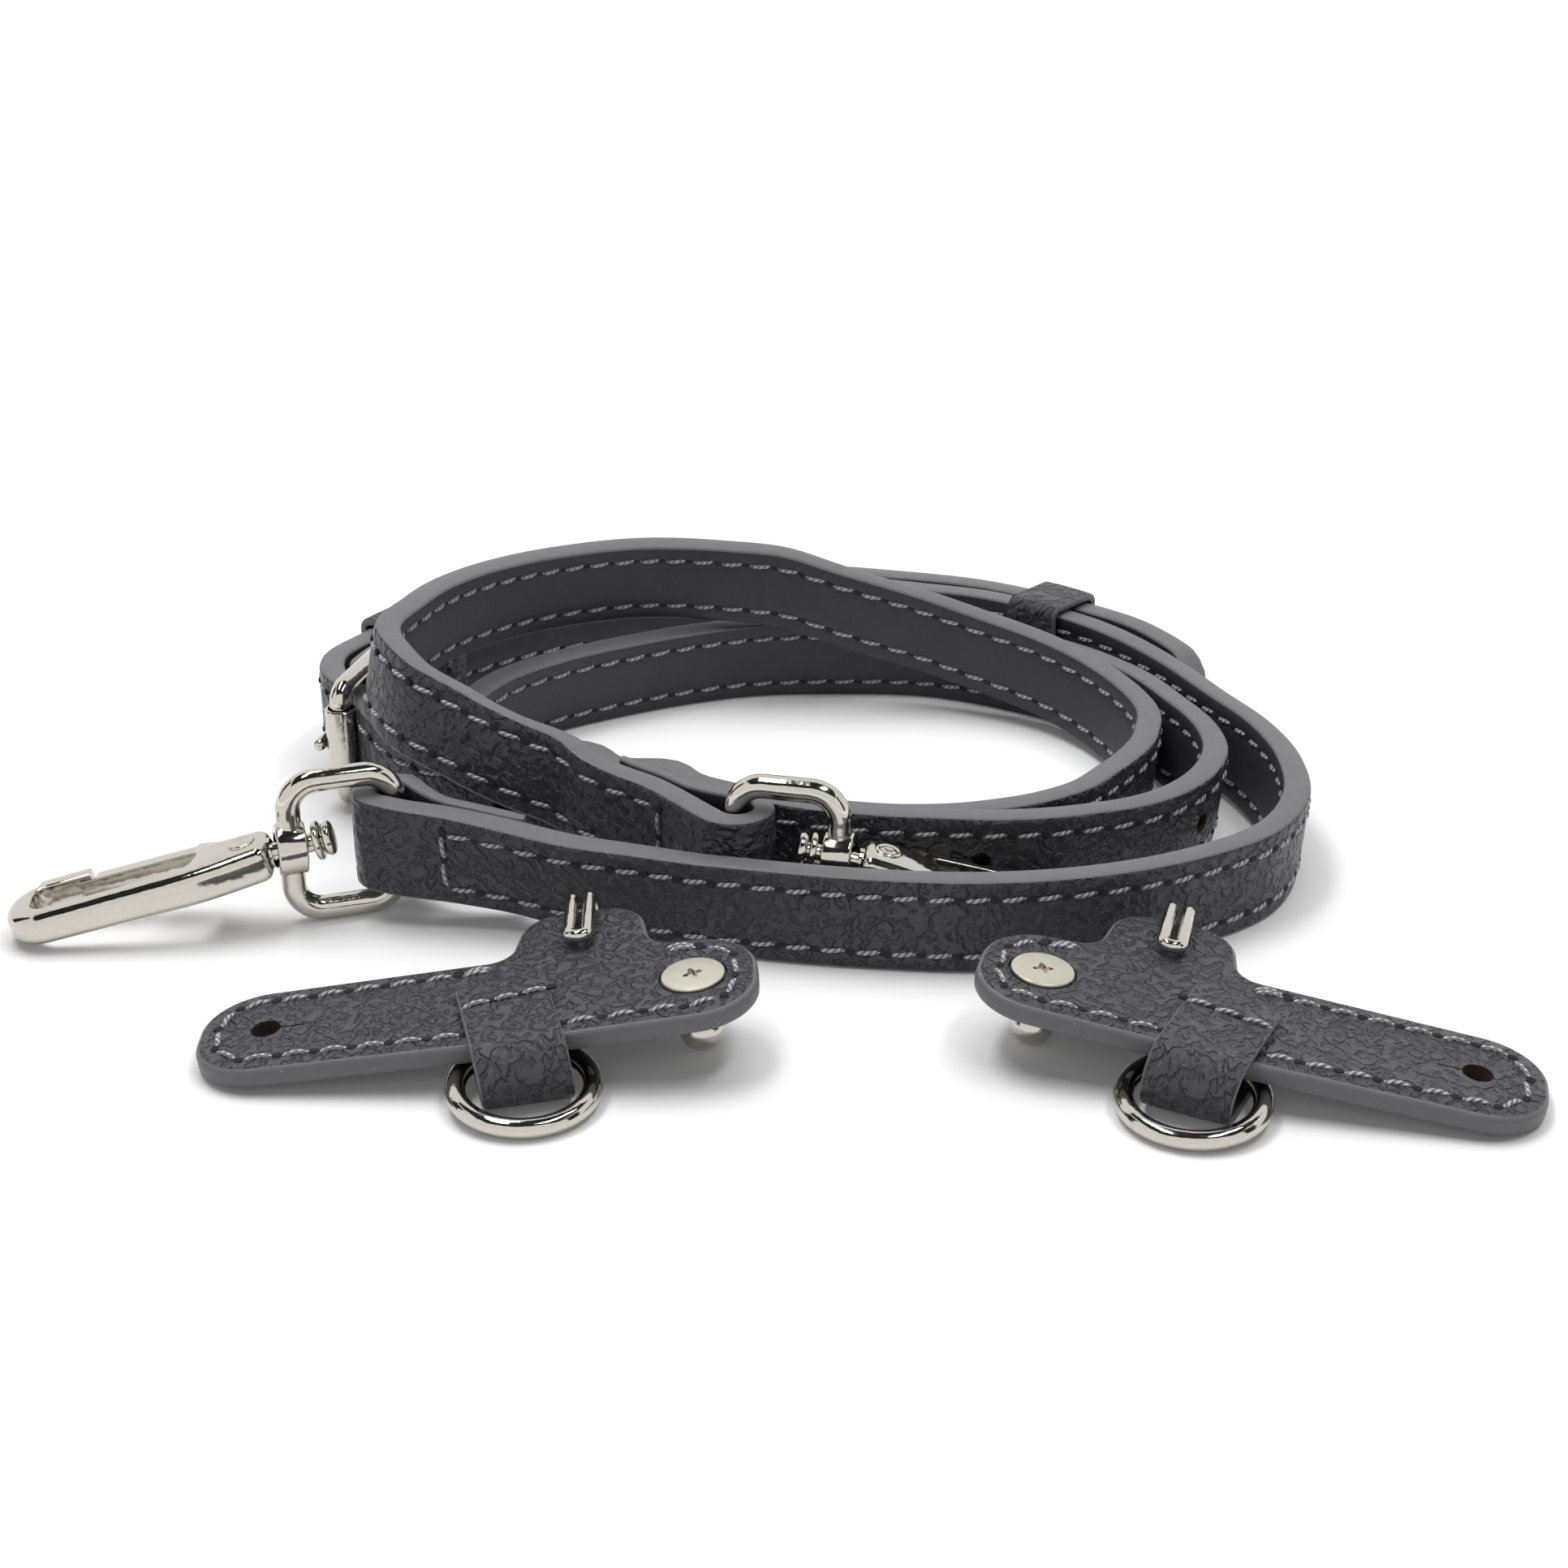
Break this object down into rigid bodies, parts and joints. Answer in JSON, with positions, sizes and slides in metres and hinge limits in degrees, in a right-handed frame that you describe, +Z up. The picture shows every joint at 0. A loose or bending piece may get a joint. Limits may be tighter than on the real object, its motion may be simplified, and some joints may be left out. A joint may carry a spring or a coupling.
{
  "type": "detachable bag strap",
  "caption": "Narrow leather bag strap wound on its edge, with swivel spring hooks, a roller buckle, keepers and a pair of leather ring tabs.",
  "frame": {"origin": "middle of the set in plan, on the floor it lies on", "axes": "+Z up; +X along the set from the loose hook on the left to the right tab; the viewer of the picture stands towards -Y"},
  "size_m": [0.174, 0.1528, 0.0283],
  "materials": {
    "buckle_frame": "polished nickel",
    "buckle_roller": "polished nickel",
    "buckle_tongue": "polished nickel",
    "fixed_keeper": "pebbled, semi-matt",
    "hook_a_body": "polished nickel",
    "hook_a_gate": "polished nickel",
    "hook_a_gate_pin": "polished nickel",
    "hook_a_ring": "polished nickel",
    "hook_a_washer": "polished nickel",
    "hook_b_body": "polished nickel",
    "hook_b_gate": "polished nickel",
    "hook_b_gate_pin": "polished nickel",
    "hook_b_ring": "polished nickel",
    "hook_b_washer": "polished nickel",
    "long_strap": "pebbled, semi-matt",
    "short_strap": "pebbled, semi-matt",
    "sliding_keeper": "pebbled, semi-matt",
    "tab_left_leather": "pebbled, semi-matt",
    "tab_left_ring": "polished nickel",
    "tab_left_ring_loop": "pebbled, semi-matt",
    "tab_left_screw": "polished nickel",
    "tab_left_stud": "polished nickel",
    "tab_left_wire_hook": "polished nickel",
    "tab_right_leather": "pebbled, semi-matt",
    "tab_right_ring": "polished nickel",
    "tab_right_ring_loop": "pebbled, semi-matt",
    "tab_right_screw": "polished nickel",
    "tab_right_stud": "polished nickel",
    "tab_right_wire_hook": "polished nickel"
  },
  "bodies": {
    "straps": {"short_strap": "short_strap", "long_strap": "long_strap", "buckle_frame": "buckle_frame", "fixed_keeper": "fixed_keeper"},
    "roller": {"buckle_roller": "buckle_roller"},
    "tongue": {"buckle_tongue": "buckle_tongue"},
    "keeper": {"sliding_keeper": "sliding_keeper"},
    "hook_a_ring": {"hook_a_ring": "hook_a_ring"},
    "hook_a": {"hook_a_body": "hook_a_body", "hook_a_gate_pin": "hook_a_gate_pin", "hook_a_washer": "hook_a_washer"},
    "hook_a_gate": {"hook_a_gate": "hook_a_gate"},
    "hook_b_ring": {"hook_b_ring": "hook_b_ring"},
    "hook_b": {"hook_b_body": "hook_b_body", "hook_b_gate_pin": "hook_b_gate_pin", "hook_b_washer": "hook_b_washer"},
    "hook_b_gate": {"hook_b_gate": "hook_b_gate"},
    "tab_left": {"tab_left_leather": "tab_left_leather", "tab_left_ring_loop": "tab_left_ring_loop", "tab_left_screw": "tab_left_screw", "tab_left_stud": "tab_left_stud", "tab_left_wire_hook": "tab_left_wire_hook"},
    "tab_left_ring": {"tab_left_ring": "tab_left_ring"},
    "tab_right": {"tab_right_leather": "tab_right_leather", "tab_right_ring_loop": "tab_right_ring_loop", "tab_right_screw": "tab_right_screw", "tab_right_stud": "tab_right_stud", "tab_right_wire_hook": "tab_right_wire_hook"},
    "tab_right_ring": {"tab_right_ring": "tab_right_ring"}
  },
  "joints": [
    {"name": "roller_spin", "type": "hinge", "parent": "straps", "child": "roller", "pos_m": [-0.0552, 0.01029, 0.0093], "axis": [0, 0, 1], "continuous": true},
    {"name": "tongue_swing", "type": "hinge", "parent": "straps", "child": "tongue", "pos_m": [-0.05145, 0.02656, 0.0093], "axis": [0, 0, 1], "range_deg": [-2.5, 0.4]},
    {"name": "keeper_slide", "type": "slide", "parent": "straps", "child": "keeper", "axis": [-0.7432, 0.6691, 0], "range_m": [-0.004, 0.005]},
    {"name": "hook_a_ring_swing", "type": "hinge", "parent": "straps", "child": "hook_a_ring", "pos_m": [-0.04374, -0.01912, 0], "axis": [0, 0, 1], "range_deg": [-45, 40]},
    {"name": "hook_a_swivel", "type": "hinge", "parent": "hook_a_ring", "child": "hook_a", "pos_m": [-0.0561, -0.02314, 0.0101], "axis": [-0.9597, -0.1178, -0.2551], "continuous": true},
    {"name": "hook_a_gate_hinge", "type": "hinge", "parent": "hook_a", "child": "hook_a_gate", "pos_m": [-0.0622, -0.02389, 0.00848], "axis": [0.2532, 0.0311, -0.9669], "range_deg": [-9, 0], "stiffness_Nm_per_rad": 0.002},
    {"name": "hook_b_ring_swing", "type": "hinge", "parent": "straps", "child": "hook_b_ring", "pos_m": [-0.00166, -0.02307, 0], "axis": [0, 0, 1], "range_deg": [-0.3, 1]},
    {"name": "hook_b_swivel", "type": "hinge", "parent": "hook_b_ring", "child": "hook_b", "pos_m": [0.011, -0.026, 0.0101], "axis": [0.9668, -0.0169, -0.2551], "range_deg": [-120, 120]},
    {"name": "hook_b_gate_hinge", "type": "hinge", "parent": "hook_b", "child": "hook_b_gate", "pos_m": [0.01714, -0.02611, 0.00848], "axis": [0.2551, -0.0045, 0.9669], "range_deg": [-9, 0], "stiffness_Nm_per_rad": 0.002},
    {"name": "tab_left_lift", "type": "slide", "parent": "straps", "child": "tab_left", "axis": [0, 0, 1], "range_m": [0, 0.04]},
    {"name": "tab_left_ring_swing", "type": "hinge", "parent": "tab_left", "child": "tab_left_ring", "pos_m": [-0.02556, -0.05819, 0.00264], "axis": [0.9714, 0.2374, 0], "range_deg": [-4, 4.5]},
    {"name": "tab_right_lift", "type": "slide", "parent": "straps", "child": "tab_right", "axis": [0, 0, 1], "range_m": [0, 0.04]},
    {"name": "tab_right_ring_swing", "type": "hinge", "parent": "tab_right", "child": "tab_right_ring", "pos_m": [0.05151, -0.06116, 0.00252], "axis": [-0.8941, 0.4479, 0], "range_deg": [-4, 4.5]}
  ]
}
